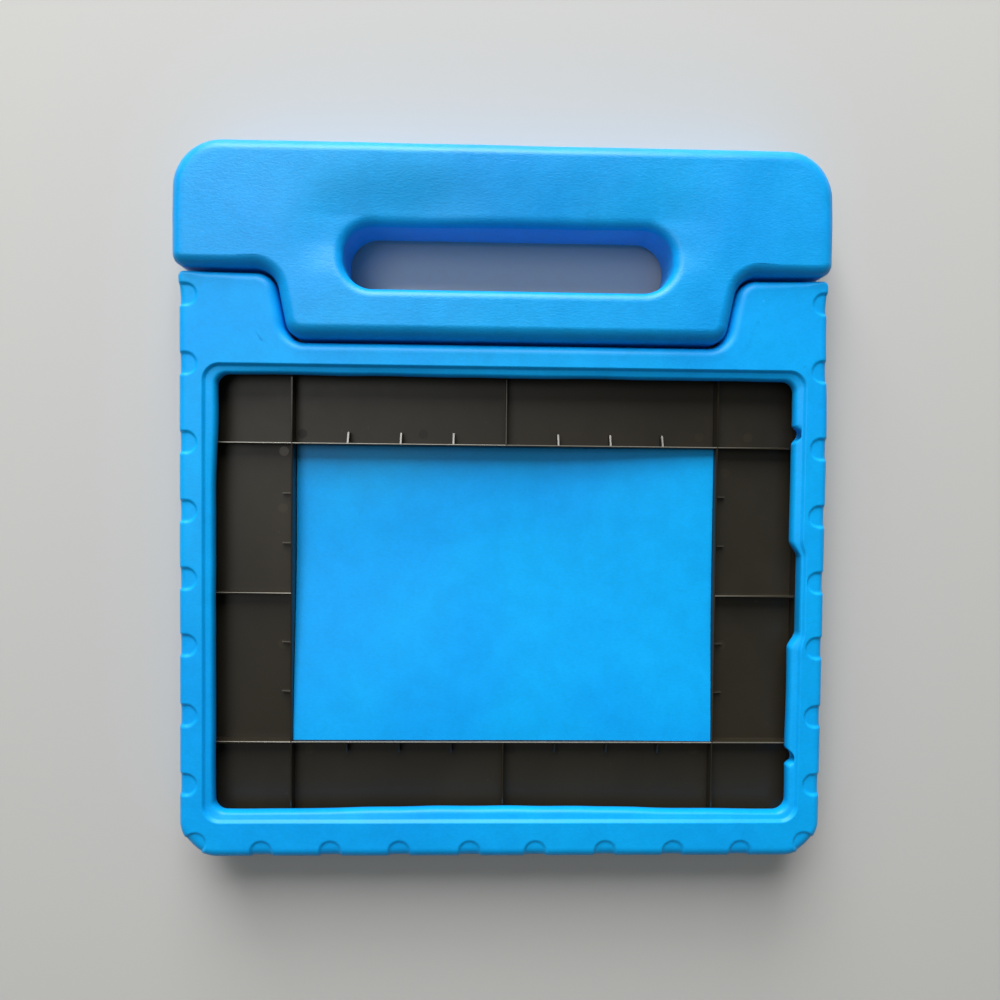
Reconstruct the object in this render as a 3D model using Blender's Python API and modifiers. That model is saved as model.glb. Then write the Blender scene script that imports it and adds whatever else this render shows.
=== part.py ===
"""Foam tablet case with a swivelling carry handle, and the plastic former that keeps its pocket in shape.

The case lies on its back: X runs across it, +Y towards the handle and +Z out of the screen side. The
origin is at the middle of its outline, on the surface it lies on. Sizes below are in millimetres.
"""

import bpy
import bmesh
from math import atan2, cos, hypot, pi, radians, sin, sqrt, tan
from mathutils import Matrix

MM = 0.001

# Tablet that the pocket takes, and the foam round it
TABLET_WIDTH = 241.2
TABLET_HEIGHT = 185.7
TABLET_CORNER = 9.0
SIDE_BORDER = 8.75
BOTTOM_BORDER = 13.5
TOP_BORDER = 7.4
BODY_THICKNESS = 25.0
BODY_CORNER = 15.0
BODY_EDGE = 2.0
SHOULDER_CORNER = 3.0
FLOOR_THICKNESS = 9.8

# Pocket, lip and the step that frames the lip
POCKET_CLEARANCE = 0.3
POCKET_DEPTH = 8.3
LIP_THICKNESS = 5.4
LIP_ROUND = 2.6
LIP_OVERLAP_SIDE = 4.6
LIP_OVERLAP_END = 5.4
LIP_CORNER = 6.0
STEP_INSET_SIDE = 1.2
STEP_INSET_END = 1.9
STEP_CORNER = 8.0
LIP_ROOT = 4.0

# Recess in the right lip for the button and socket, and the two bites beside it
RECESS_LENGTH = 44.0
RECESS_SLOPE = 4.5
RECESS_DEPTH = 2.4
BITE_SPACING = 133.0
BITE_WIDTH = 8.6
BITE_SLOPE = 3.3
BITE_DEPTH = 2.8

# Grip dimples round the edge
SIDE_DIMPLE_COUNT = 8
SIDE_DIMPLE_PITCH = 27.7
SIDE_DIMPLE_FIRST = 30.4
BOTTOM_DIMPLE_COUNT = 8
BOTTOM_DIMPLE_PITCH = 27.7
DIMPLE_WIDTH = 9.4
DIMPLE_REACH = 7.0
DIMPLE_DEPTH = 1.0
GROOVE_DEPTH = 0.8
GROOVE_FLARE = 1.3

# Handle
HANDLE_OVERHANG = 0.4
HANDLE_THICKNESS = 29.0
HANDLE_EDGE = 5.0
BAR_HEIGHT = 50.0
BAR_TOP_CORNER = 19.0
BAR_LOWER_CORNER = 6.0
TAB_DEPTH = 26.7
TAB_ROOT_HALF_WIDTH = 91.8
TAB_END_HALF_WIDTH = 86.3
TAB_ROOT_CORNER = 9.5
TAB_CORNER = 7.5
PARTING_GAP = 1.2
SLOT_WIDTH = 134.0
SLOT_HEIGHT = 27.8
SLOT_CORNER = 12.5
SLOT_BELOW_TOP = 29.5

# Hinge
PIVOT_HEIGHT = 10.0
PIN_RADIUS = 3.5
PIN_ROOT_DEPTH = 20.0
PIN_REACH = 15.0
PIN_HEAD_RADIUS = 6.5
PIN_HEAD_THICKNESS = 2.0
BUSH_RADIUS = 6.5
BUSH_WALL_END = 1.5
BUSH_RIB_RADIUS = 8.0
BUSH_RIB_WIDTH = 2.0
FIT = 0.3
RELIEF_HEIGHT = 13.5
BARREL_START = 4.0

# Former
FORMER_HEIGHT = 7.7
FORMER_PLATE = 2.2
FORMER_RIB = 1.0
WINDOW_WIDTH = 172.4
WINDOW_HEIGHT = 120.4
WINDOW_DROP = 0.8
GUSSET_PITCH = 21.4
GUSSET_LENGTH = 4.0

# Fineness of the rounded shapes
ARC_STEPS = 6
RIM_STEPS = 4
TURN_STEPS = 24
RELIEF_STEPS = 36
OVERCUT = 5.0
WELD = 0.001
FLAT_ANGLE = 1.0

# Places that follow from the sizes, measured from the bottom edge of the case
TABLET_CENTRE = BOTTOM_BORDER + TABLET_HEIGHT / 2
NOTCH_END = BOTTOM_BORDER + TABLET_HEIGHT + TOP_BORDER
TAB_END = NOTCH_END + PARTING_GAP
BAR_BOTTOM = TAB_END + TAB_DEPTH
SHOULDER_TOP = BAR_BOTTOM - PARTING_GAP
LENGTH = BAR_BOTTOM + BAR_HEIGHT
PIVOT = (NOTCH_END + SHOULDER_TOP) / 2
HALF_BODY = TABLET_WIDTH / 2 + SIDE_BORDER
HALF_HANDLE = HALF_BODY + HANDLE_OVERHANG
LIP_UNDERSIDE = FLOOR_THICKNESS + POCKET_DEPTH
LIP_TOP = LIP_UNDERSIDE + LIP_THICKNESS
TAB_SLOPE = (TAB_ROOT_HALF_WIDTH - TAB_END_HALF_WIDTH) / TAB_DEPTH

# Materials: name, colour and roughness
BODY_FOAM = ("foam_body", (0.015, 0.30, 0.85), 0.62)
HANDLE_FOAM = ("foam_handle", (0.025, 0.27, 0.80), 0.70)
FORMER_PLASTIC = ("former", (0.022, 0.021, 0.018), 0.38)
PIN_PLASTIC = ("hinge_pin", (0.022, 0.021, 0.018), 0.45)
BUSH_PLASTIC = ("hinge_bush", (0.10, 0.10, 0.11), 0.45)


# Outlines

def rounded(corners):
    """Points of a closed outline through corners (x, y, radius), each corner swept by an arc."""
    points = []
    for index, (x, y, radius) in enumerate(corners):
        before = corners[index - 1]
        after = corners[(index + 1) % len(corners)]
        if radius <= 0:
            points.append((x, y))
            continue
        u = unit(before[0] - x, before[1] - y)
        v = unit(after[0] - x, after[1] - y)
        half_angle = atan2(abs(u[0] * v[1] - u[1] * v[0]), u[0] * v[0] + u[1] * v[1]) / 2
        tangent = radius / tan(half_angle)
        start = (x + u[0] * tangent, y + u[1] * tangent)
        end = (x + v[0] * tangent, y + v[1] * tangent)
        middle = unit(u[0] + v[0], u[1] + v[1])
        centre = (x + middle[0] * radius / sin(half_angle), y + middle[1] * radius / sin(half_angle))
        angle_start = atan2(start[1] - centre[1], start[0] - centre[0])
        sweep = atan2(end[1] - centre[1], end[0] - centre[0]) - angle_start
        sweep = (sweep + pi) % (2 * pi) - pi
        for step in range(ARC_STEPS + 1):
            angle = angle_start + sweep * step / ARC_STEPS
            points.append((centre[0] + radius * cos(angle), centre[1] + radius * sin(angle)))
    return points


def unit(x, y):
    """The direction (x, y) at length one."""
    length = hypot(x, y)
    return x / length, y / length


def box_outline(half_width, low, high, radius):
    """A rounded rectangle about X = 0, from low to high."""
    return rounded([(-half_width, low, radius), (half_width, low, radius),
                    (half_width, high, radius), (-half_width, high, radius)])


def tablet_outline(grow_side, grow_end, radius):
    """The tablet's outline, grown or (below zero) shrunk at its sides and ends."""
    half_height = TABLET_HEIGHT / 2 + grow_end
    return box_outline(TABLET_WIDTH / 2 + grow_side, TABLET_CENTRE - half_height,
                       TABLET_CENTRE + half_height, radius)


def mirrored(corners):
    """Corners given for the right side, bottom to top, with the left side added top to bottom."""
    return corners + [(-x, y, radius) for x, y, radius in reversed(corners)]


def tab_side(level, offset):
    """Half width at one level of the tab's slanting side, moved out by an offset."""
    return TAB_ROOT_HALF_WIDTH + TAB_SLOPE * (level - BAR_BOTTOM) + offset * sqrt(1 + TAB_SLOPE ** 2)


def handle_outline():
    """Outline of the handle: the grip bar above, the tapering tab below."""
    return rounded(mirrored([
        (tab_side(TAB_END, 0), TAB_END, TAB_CORNER),
        (tab_side(BAR_BOTTOM, 0), BAR_BOTTOM, TAB_ROOT_CORNER),
        (HALF_HANDLE, BAR_BOTTOM, BAR_LOWER_CORNER),
        (HALF_HANDLE, LENGTH, BAR_TOP_CORNER)]))


def slot_outline():
    """Outline of the finger slot in the grip bar."""
    top = LENGTH - SLOT_BELOW_TOP
    return box_outline(SLOT_WIDTH / 2, top - SLOT_HEIGHT, top, SLOT_CORNER)


def notch_corners():
    """Corners of the notch that takes the tab, shoulder first."""
    return [(tab_side(SHOULDER_TOP, PARTING_GAP), SHOULDER_TOP, TAB_ROOT_CORNER - PARTING_GAP),
            (tab_side(NOTCH_END, PARTING_GAP), NOTCH_END, TAB_CORNER + PARTING_GAP)]


def body_outline():
    """Outline of the foam body, with its two shoulders and the notch between them."""
    return rounded(mirrored([
        (HALF_BODY, 0, BODY_CORNER),
        (HALF_BODY, SHOULDER_TOP, SHOULDER_CORNER)] + notch_corners()))


def lip_outline():
    """Inner edge of the lip, with the recess and the two bites in its right side."""
    edge = TABLET_WIDTH / 2 - LIP_OVERLAP_SIDE
    low = BOTTOM_BORDER + LIP_OVERLAP_END
    high = BOTTOM_BORDER + TABLET_HEIGHT - LIP_OVERLAP_END
    corners = [(-edge, low, LIP_CORNER), (edge, low, LIP_CORNER)]
    for middle, half, depth, slope in (
            (TABLET_CENTRE - BITE_SPACING / 2, BITE_WIDTH / 2, BITE_DEPTH, BITE_SLOPE),
            (TABLET_CENTRE, RECESS_LENGTH / 2, RECESS_DEPTH, RECESS_SLOPE),
            (TABLET_CENTRE + BITE_SPACING / 2, BITE_WIDTH / 2, BITE_DEPTH, BITE_SLOPE)):
        corners += [(edge, middle - half, 0), (edge + depth, middle - half + slope, 0),
                    (edge + depth, middle + half - slope, 0), (edge, middle + half, 0)]
    return rounded(corners + [(edge, high, LIP_CORNER), (-edge, high, LIP_CORNER)])


# Solids

def new_object(name, mesh, collection):
    """An object in the case's frame, holding a mesh given in metres from the case's bottom edge."""
    obj = bpy.data.objects.new(name, mesh)
    collection.objects.link(obj)
    obj.location = (0, -LENGTH / 2 * MM, 0)
    return obj


def flat_solid(name, outlines, low, high, collection, rim=0.0):
    """A flat outline, holes and all, drawn up from one height to another, with its rims rounded."""
    curve = bpy.data.curves.new(name, 'CURVE')
    curve.dimensions = '2D'
    curve.fill_mode = 'BOTH'
    curve.extrude = ((high - low) / 2 - rim) * MM
    curve.bevel_depth = rim * MM
    curve.offset = -rim * MM
    curve.bevel_resolution = RIM_STEPS - 1
    for outline in outlines:
        spline = curve.splines.new('POLY')
        spline.points.add(len(outline) - 1)
        for point, (x, y) in zip(spline.points, outline):
            point.co = (x * MM, y * MM, 0, 1)
        spline.use_cyclic_u = True
    drawn = bpy.data.objects.new(name + "_curve", curve)
    collection.objects.link(drawn)
    bpy.context.view_layer.update()
    mesh = bpy.data.meshes.new_from_object(drawn.evaluated_get(bpy.context.evaluated_depsgraph_get()))
    bpy.data.objects.remove(drawn)
    bm = bmesh.new()
    bm.from_mesh(mesh)
    bmesh.ops.remove_doubles(bm, verts=bm.verts, dist=WELD * MM)
    bmesh.ops.translate(bm, verts=bm.verts, vec=(0, 0, (low + high) / 2 * MM))
    bmesh.ops.dissolve_limit(bm, angle_limit=radians(FLAT_ANGLE), verts=bm.verts, edges=bm.edges)
    bmesh.ops.recalc_face_normals(bm, faces=bm.faces)
    bm.to_mesh(mesh)
    bm.free()
    mesh.name = name
    return new_object(name, mesh, collection)


def combine(obj, other, operation):
    """Cuts a solid by another, or joins it."""
    boolean = obj.modifiers.new(operation.lower() + "_" + other.name, 'BOOLEAN')
    boolean.operation = operation
    boolean.solver = 'EXACT'
    boolean.object = other


def turned(name, profile, segments, centre, collection):
    """A solid turned about an X axis through a centre (x, y, z), from a profile (x, radius) that
    runs towards +X on its outer side."""
    bm = bmesh.new()
    start = pi / segments
    verts = [bm.verts.new((x * MM, radius * cos(start) * MM, radius * sin(start) * MM))
             for x, radius in reversed(profile)]
    for first, second in zip(verts, verts[1:]):
        bm.edges.new((first, second))
    mesh = bpy.data.meshes.new(name)
    bm.to_mesh(mesh)
    bm.free()
    obj = bpy.data.objects.new(name, mesh)
    collection.objects.link(obj)
    obj.location = (centre[0] * MM, (centre[1] - LENGTH / 2) * MM, centre[2] * MM)
    screw = obj.modifiers.new("turn", 'SCREW')
    screw.axis = 'X'
    screw.steps = segments
    screw.render_steps = segments
    screw.use_merge_vertices = True
    screw.merge_threshold = WELD * MM
    return obj


def lengthwise(obj):
    """Turns a flat solid so that its outline, drawn as (y, z), runs along X."""
    obj.data.transform(Matrix(((0, 0, 1, 0), (1, 0, 0, 0), (0, 1, 0, 0), (0, 0, 0, 1))))
    return obj


def barrel_cutter(name, radius, side, collection):
    """Takes what lies behind the hinge, outside a radius round it, off the +Y or -Y side."""
    steps = 2 * ARC_STEPS
    first = radians(BARREL_START)
    arc = []
    for step in range(steps + 1):
        angle = first + (pi / 2 - first) * step / steps
        arc.append((side * radius * cos(angle), -radius * sin(angle)))
    outline = arc + [(side * (radius + OVERCUT), -radius), (side * (radius + OVERCUT), FIT)]
    placed = [(PIVOT + y, PIVOT_HEIGHT + z) for y, z in outline]
    return lengthwise(flat_solid(name, [placed], -HALF_HANDLE - OVERCUT, HALF_HANDLE + OVERCUT, collection))


# Foam body

def dimple_places():
    """Middles and outward directions (x, y, angle) of the grip dimples round the edge."""
    places = []
    for index in range(SIDE_DIMPLE_COUNT):
        level = SIDE_DIMPLE_FIRST + index * SIDE_DIMPLE_PITCH
        places += [(HALF_BODY, level, 0), (-HALF_BODY, level, pi)]
    for index in range(BOTTOM_DIMPLE_COUNT):
        x = (index - (BOTTOM_DIMPLE_COUNT - 1) / 2) * BOTTOM_DIMPLE_PITCH
        places.append((x, 0, -pi / 2))
    corner = BODY_CORNER * (1 - sqrt(0.5))
    places += [(HALF_BODY - corner, corner, -pi / 4), (corner - HALF_BODY, corner, -3 * pi / 4)]
    return places


def turned_outline(outline, place):
    """An outline drawn about the origin, +X outwards, carried to a place on the edge."""
    x, y, angle = place
    return [(x + u * cos(angle) - v * sin(angle), y + u * sin(angle) + v * cos(angle)) for u, v in outline]


def dimple_cutter(collection):
    """The shallow half-round pads sunk into the front face at each dimple."""
    pad = [(DIMPLE_REACH * cos(2 * pi * step / (4 * ARC_STEPS)),
            DIMPLE_WIDTH / 2 * sin(2 * pi * step / (4 * ARC_STEPS))) for step in range(4 * ARC_STEPS)]
    pads = [turned_outline(pad, place) for place in dimple_places()]
    return flat_solid("cut_dimples", pads, BODY_THICKNESS - DIMPLE_DEPTH, BODY_THICKNESS + OVERCUT, collection)


def groove_cutter(collection):
    """The shallow grooves that carry each dimple down the side wall."""
    radius = ((DIMPLE_WIDTH / 2) ** 2 + GROOVE_DEPTH ** 2) / (2 * GROOVE_DEPTH)
    steps = 2 * ARC_STEPS
    reach = atan2(DIMPLE_WIDTH / 2, radius - GROOVE_DEPTH) * GROOVE_FLARE
    bow = [(radius - GROOVE_DEPTH - radius * cos(reach * (2 * step / steps - 1)),
            radius * sin(reach * (2 * step / steps - 1))) for step in range(steps + 1)]
    bow += [(OVERCUT, bow[-1][1]), (OVERCUT, bow[0][1])]
    grooves = [turned_outline(bow, place) for place in dimple_places()]
    return flat_solid("cut_grooves", grooves, -OVERCUT, BODY_THICKNESS + OVERCUT, collection)


def swing_relief(collection):
    """Room behind the notch's sides for the tab's wider root as it swings round the hinge."""
    reach = SHOULDER_TOP - PIVOT + FIT
    side = [(x, y - PIVOT) for x, y in body_outline()
            if 0 < x < HALF_BODY - TAB_CORNER and 0 < y - PIVOT < reach]
    side = [(tab_side(PIVOT, PARTING_GAP), 0)] + sorted(side, key=lambda point: point[1])
    side.append((side[-1][0], reach))
    profile = [(-x, radius) for x, radius in side] + [(x, radius) for x, radius in reversed(side)]
    relief = turned("cut_relief", profile, RELIEF_STEPS, (0, PIVOT, PIVOT_HEIGHT), collection)
    reach += OVERCUT
    back_half = flat_solid("keep_back_half", [box_outline(HALF_BODY, PIVOT - reach, PIVOT + reach, 0)],
                           PIVOT_HEIGHT - reach, RELIEF_HEIGHT, collection)
    combine(relief, back_half, 'INTERSECT')
    return relief


def corner_relief(name, side, collection):
    """Room at one back corner of the notch for the tab's back edge, deeper than the swing relief."""
    radius = hypot(SHOULDER_TOP - PIVOT, PIVOT_HEIGHT) + FIT
    steps = 4 * ARC_STEPS
    start = atan2(FIT + PIVOT_HEIGHT - FLOOR_THICKNESS, radius)
    arc = []
    for step in range(steps + 1):
        angle = -start - (pi - 2 * start) * step / steps
        arc.append((PIVOT + radius * cos(angle), PIVOT_HEIGHT + radius * sin(angle)))
    ends = sorted((side * (TAB_END_HALF_WIDTH - TAB_CORNER), side * tab_side(BAR_BOTTOM, PARTING_GAP)))
    return lengthwise(flat_solid(name, [arc], ends[0], ends[1], collection))


def bush_profile(grow, mouth):
    """Profile (x, radius) of the right bush's outside, grown by a clearance, open back to a mouth."""
    start = tab_side(PIVOT + BUSH_RADIUS, PARTING_GAP) + FIT
    end = pin_end() + FIT + BUSH_WALL_END
    rib = (start + end) / 2
    return [(start if mouth is None else mouth, BUSH_RADIUS + grow),
            (rib - BUSH_RIB_WIDTH / 2 - grow, BUSH_RADIUS + grow),
            (rib - BUSH_RIB_WIDTH / 2 - grow, BUSH_RIB_RADIUS + grow),
            (rib + BUSH_RIB_WIDTH / 2 + grow, BUSH_RIB_RADIUS + grow),
            (rib + BUSH_RIB_WIDTH / 2 + grow, BUSH_RADIUS + grow),
            (end + grow, BUSH_RADIUS + grow)]


def pin_end():
    """How far out the right pin reaches."""
    return tab_side(PIVOT, 0) + PIN_REACH


def mirrored_profile(profile, side):
    """A profile of the right side, or its mirror image for the left."""
    return profile if side > 0 else [(-x, radius) for x, radius in reversed(profile)]


def closed_profile(profile):
    """A profile brought to the axis at both ends."""
    return [(profile[0][0], 0)] + profile + [(profile[-1][0], 0)]


def lip_ring(collection):
    """The lip that holds the tablet's edge, rooted in the wall, its inner edge a full round."""
    outer = tablet_outline(LIP_ROOT, LIP_ROOT, TABLET_CORNER + LIP_ROOT)
    return flat_solid("lip_ring", [outer, lip_outline()], LIP_UNDERSIDE, LIP_TOP, collection, LIP_ROUND)


def make_body(parts, cutters):
    """The foam shell: back, walls, lip, shoulders and the notch for the handle's tab."""
    body = flat_solid("foam_body", [body_outline()], 0, BODY_THICKNESS, parts, BODY_EDGE)
    lip_middle = LIP_UNDERSIDE + LIP_THICKNESS / 2
    pocket = flat_solid(
        "cut_pocket", [tablet_outline(POCKET_CLEARANCE, POCKET_CLEARANCE, TABLET_CORNER + POCKET_CLEARANCE)],
        FLOOR_THICKNESS, lip_middle, cutters)
    front = flat_solid(
        "cut_front", [tablet_outline(-STEP_INSET_SIDE, -STEP_INSET_END, STEP_CORNER)],
        lip_middle - POCKET_CLEARANCE, BODY_THICKNESS + OVERCUT, cutters)
    combine(body, pocket, 'DIFFERENCE')
    combine(body, front, 'DIFFERENCE')
    combine(body, lip_ring(cutters), 'UNION')
    for side, word in ((1, "right"), (-1, "left")):
        hole = turned("cut_bush_" + word,
                      mirrored_profile(closed_profile(bush_profile(FIT, tab_side(TAB_END, 0))), side),
                      TURN_STEPS, (0, PIVOT, PIVOT_HEIGHT), cutters)
        combine(body, hole, 'DIFFERENCE')
        combine(body, corner_relief("cut_corner_" + word, side, cutters), 'DIFFERENCE')
    for cutter in (swing_relief(cutters),
                   barrel_cutter("cut_shoulder_back", SHOULDER_TOP - PIVOT, 1, cutters),
                   dimple_cutter(cutters), groove_cutter(cutters)):
        combine(body, cutter, 'DIFFERENCE')
    dress(body, BODY_FOAM)


# Handle and hinge

def pin_profile(grow, mouth):
    """Profile (x, radius) of the right pin, grown by a clearance: head in the tab, shaft in the bush."""
    head = tab_side(PIVOT, 0) - PIN_ROOT_DEPTH
    return [(head - grow, PIN_HEAD_RADIUS + grow),
            (head + PIN_HEAD_THICKNESS + grow, PIN_HEAD_RADIUS + grow),
            (head + PIN_HEAD_THICKNESS + grow, PIN_RADIUS + grow),
            (pin_end() if mouth is None else mouth, PIN_RADIUS + grow)]


def make_handle(parts, cutters, pivot):
    """The foam handle: grip bar with its finger slot, and the tab that swings in the notch."""
    handle = flat_solid("foam_handle", [handle_outline(), slot_outline()], 0, HANDLE_THICKNESS, parts,
                        HANDLE_EDGE)
    combine(handle, barrel_cutter("cut_tab_back", PIVOT - TAB_END, -1, cutters), 'DIFFERENCE')
    for side, word in ((1, "right"), (-1, "left")):
        hole = turned("cut_pin_" + word,
                      mirrored_profile(closed_profile(pin_profile(FIT, pin_end())), side),
                      TURN_STEPS, (0, PIVOT, PIVOT_HEIGHT), cutters)
        combine(handle, hole, 'DIFFERENCE')
    dress(handle, HANDLE_FOAM)
    hang(handle, pivot)


def make_hinges(parts, pivot):
    """A headed pin in each side of the tab, and the blind bush that it turns in."""
    for side, word in ((1, "right"), (-1, "left")):
        pin = turned("hinge_pin_" + word, mirrored_profile(closed_profile(pin_profile(0, None)), side),
                     TURN_STEPS, (0, PIVOT, PIVOT_HEIGHT), parts)
        dress(pin, PIN_PLASTIC)
        hang(pin, pivot)
        outside = bush_profile(0, None)
        bore = PIN_RADIUS + FIT
        profile = [(pin_end() + FIT, 0), (pin_end() + FIT, bore), (outside[0][0], bore)] + outside
        bush = turned("hinge_bush_" + word, mirrored_profile(profile + [(outside[-1][0], 0)], side),
                      TURN_STEPS, (0, PIVOT, PIVOT_HEIGHT), parts)
        dress(bush, BUSH_PLASTIC)


def hang(obj, pivot):
    """Hangs a moving piece from the pivot without shifting it."""
    obj.parent = pivot
    obj.location = obj.location - pivot.location


# Former

def cell(corner, along, away, length, depth, gussets=(), far_radius=0.0):
    """One open cell of the former, laid along a rib from a corner, with gussets standing on that rib."""
    path = [(0, 0, 0)]
    for place in gussets:
        path += [(place - FORMER_RIB / 2, 0, 0), (place - FORMER_RIB / 2, GUSSET_LENGTH, 0),
                 (place + FORMER_RIB / 2, GUSSET_LENGTH, 0), (place + FORMER_RIB / 2, 0, 0)]
    path += [(length, 0, 0), (length, depth, far_radius), (0, depth, 0)]
    return rounded([(corner[0] + along[0] * u + away[0] * v, corner[1] + along[1] * u + away[1] * v, radius)
                    for u, v, radius in path])


def former_cells():
    """Outlines of the twelve cells round the window, four of them with a rounded outer corner."""
    middle = TABLET_CENTRE - WINDOW_DROP
    half_rib = FORMER_RIB / 2
    inner_x = WINDOW_WIDTH / 2
    inner_y = WINDOW_HEIGHT / 2
    outer_x = TABLET_WIDTH / 2 - FORMER_RIB
    outlines = []
    for up in (1, -1):
        outer_y = TABLET_HEIGHT / 2 - FORMER_RIB + up * WINDOW_DROP
        depth_y = outer_y - inner_y - FORMER_RIB
        depth_x = outer_x - inner_x - FORMER_RIB
        for right in (1, -1):
            top = [GUSSET_PITCH * count - half_rib for count in (1, 2, 3)]
            side = [GUSSET_PITCH * count - half_rib for count in (1, 2)]
            outlines.append(cell((right * half_rib, middle + up * (inner_y + FORMER_RIB)), (right, 0), (0, up),
                                 inner_x - half_rib, depth_y, top))
            outlines.append(cell((right * (inner_x + FORMER_RIB), middle + up * half_rib), (0, up), (right, 0),
                                 inner_y - half_rib, depth_x, side))
            outlines.append(cell((right * (inner_x + FORMER_RIB), middle + up * (inner_y + FORMER_RIB)),
                                 (right, 0), (0, up), depth_x, depth_y, (), TABLET_CORNER - FORMER_RIB))
    return outlines


def make_former(parts, cutters):
    """The ribbed plastic frame that fills the pocket in the tablet's place."""
    middle = TABLET_CENTRE - WINDOW_DROP
    low = FLOOR_THICKNESS + FIT
    window = box_outline(WINDOW_WIDTH / 2, middle - WINDOW_HEIGHT / 2, middle + WINDOW_HEIGHT / 2, 0)
    former = flat_solid("pocket_former", [tablet_outline(0, 0, TABLET_CORNER), window],
                        low, low + FORMER_HEIGHT, parts)
    cells = flat_solid("cut_cells", former_cells(), low + FORMER_PLATE, low + FORMER_HEIGHT + OVERCUT, cutters)
    combine(former, cells, 'DIFFERENCE')
    dress(former, FORMER_PLASTIC)


# Assembly

def dress(obj, finish):
    """Gives a sub-part its material, from its name, colour and roughness."""
    name, colour, roughness = finish
    material = bpy.data.materials.get(name) or bpy.data.materials.new(name)
    material.use_nodes = True
    shader = material.node_tree.nodes["Principled BSDF"]
    shader.inputs["Base Color"].default_value = (*colour, 1)
    shader.inputs["Roughness"].default_value = roughness
    shader.inputs["Metallic"].default_value = 0
    obj.data.materials.clear()
    obj.data.materials.append(material)


def new_collection(name):
    """A collection under the scene's own."""
    collection = bpy.data.collections.new(name)
    bpy.context.scene.collection.children.link(collection)
    return collection


def main():
    """Clears the scene and builds the case."""
    for obj in list(bpy.data.objects):
        bpy.data.objects.remove(obj)
    parts = new_collection("kids_tablet_case")
    cutters = new_collection("cutters")
    pivot = bpy.data.objects.new("handle_pivot", None)
    parts.objects.link(pivot)
    pivot.location = (0, (PIVOT - LENGTH / 2) * MM, PIVOT_HEIGHT * MM)
    make_body(parts, cutters)
    make_handle(parts, cutters, pivot)
    make_hinges(parts, pivot)
    make_former(parts, cutters)
    for cutter in cutters.objects:
        cutter.hide_render = True
        cutter.display_type = 'WIRE'


main()
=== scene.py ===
"""Dresses the foam tablet case: shell, swivelling handle, hinge parts and the former in the pocket.

The case lies on its back with X across it, +Y towards the handle and +Z out of the screen side. Sizes
in the classes below are in millimetres and angles in degrees; meshes are made in metres.
"""

import logging
from bisect import bisect_left
from dataclasses import dataclass, field
from enum import Enum
from math import copysign, cos, exp, hypot, pi, radians, sin, sqrt, tan
from typing import Callable, Iterable, Optional, Sequence, Union

import bmesh
import bpy
from mathutils import Matrix, Vector, noise


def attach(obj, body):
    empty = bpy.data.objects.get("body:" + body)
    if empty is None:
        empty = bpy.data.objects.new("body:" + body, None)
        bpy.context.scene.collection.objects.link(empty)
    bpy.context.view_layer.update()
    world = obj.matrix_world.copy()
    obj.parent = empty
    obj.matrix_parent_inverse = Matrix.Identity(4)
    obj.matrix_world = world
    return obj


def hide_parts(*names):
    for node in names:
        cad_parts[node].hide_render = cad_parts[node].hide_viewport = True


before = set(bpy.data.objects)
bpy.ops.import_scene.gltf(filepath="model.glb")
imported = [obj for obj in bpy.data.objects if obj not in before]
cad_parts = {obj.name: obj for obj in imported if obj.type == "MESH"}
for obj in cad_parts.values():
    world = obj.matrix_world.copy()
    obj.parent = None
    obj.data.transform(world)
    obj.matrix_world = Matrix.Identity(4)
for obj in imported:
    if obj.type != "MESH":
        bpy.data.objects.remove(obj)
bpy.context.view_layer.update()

MM = 0.001
MARK = "mark"
# Face attribute for painted highlights: pale colour on the former's rib tops where they face the lamps.
PAINTED_HIGHLIGHT = "painted_highlight"
LOG = logging.getLogger("tablet_case")

Number = Union[float, int]
Pair = tuple[float, float]
Triple = tuple[float, float, float]
Colour = Triple
Share = tuple[float, float, Vector]


class Body(Enum):
    """The two bodies that pieces ride on."""

    CASE = "case"
    HANDLE = "handle"


# Shader expressions


class Wire:
    """A shader socket that takes part in arithmetic: an expression adds its Math nodes."""

    def __init__(self, graph: "Graph", socket: bpy.types.NodeSocket) -> None:
        """Wraps one output socket of a graph."""
        self.graph = graph
        self.socket = socket

    def _math(self, operation: str, first: "Feed", second: "Feed") -> "Wire":
        """Adds one Math node.

        Args:
            operation: the node's operation, as Blender names it.
            first: its first value or link.
            second: its second value or link.

        Returns:
            The node's result.
        """
        return self.graph.node("ShaderNodeMath", {"operation": operation}, {0: first, 1: second})

    def __add__(self, other: "Feed") -> "Wire":
        """The sum."""
        return self._math("ADD", self, other)

    def __radd__(self, other: "Feed") -> "Wire":
        """The sum, from the right."""
        return self._math("ADD", other, self)

    def __sub__(self, other: "Feed") -> "Wire":
        """The difference."""
        return self._math("SUBTRACT", self, other)

    def __rsub__(self, other: "Feed") -> "Wire":
        """The difference, from the right."""
        return self._math("SUBTRACT", other, self)

    def __mul__(self, other: "Feed") -> "Wire":
        """The product."""
        return self._math("MULTIPLY", self, other)

    def __rmul__(self, other: "Feed") -> "Wire":
        """The product, from the right."""
        return self._math("MULTIPLY", other, self)

    def ramp(self, low: float, high: float) -> "Wire":
        """A smooth step of the value.

        Args:
            low: where the result is 0.
            high: where the result is 1; it may be the smaller of the two.

        Returns:
            A value from 0 to 1.
        """
        start, end, first, last = (low, high, 0.0, 1.0) if low < high else (high, low, 1.0, 0.0)
        return self.graph.node("ShaderNodeMapRange", {"interpolation_type": "SMOOTHSTEP"},
                               {"Value": self, "From Min": start, "From Max": end,
                                "To Min": first, "To Max": last})


Feed = Union[Wire, Number, Sequence[float]]


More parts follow.
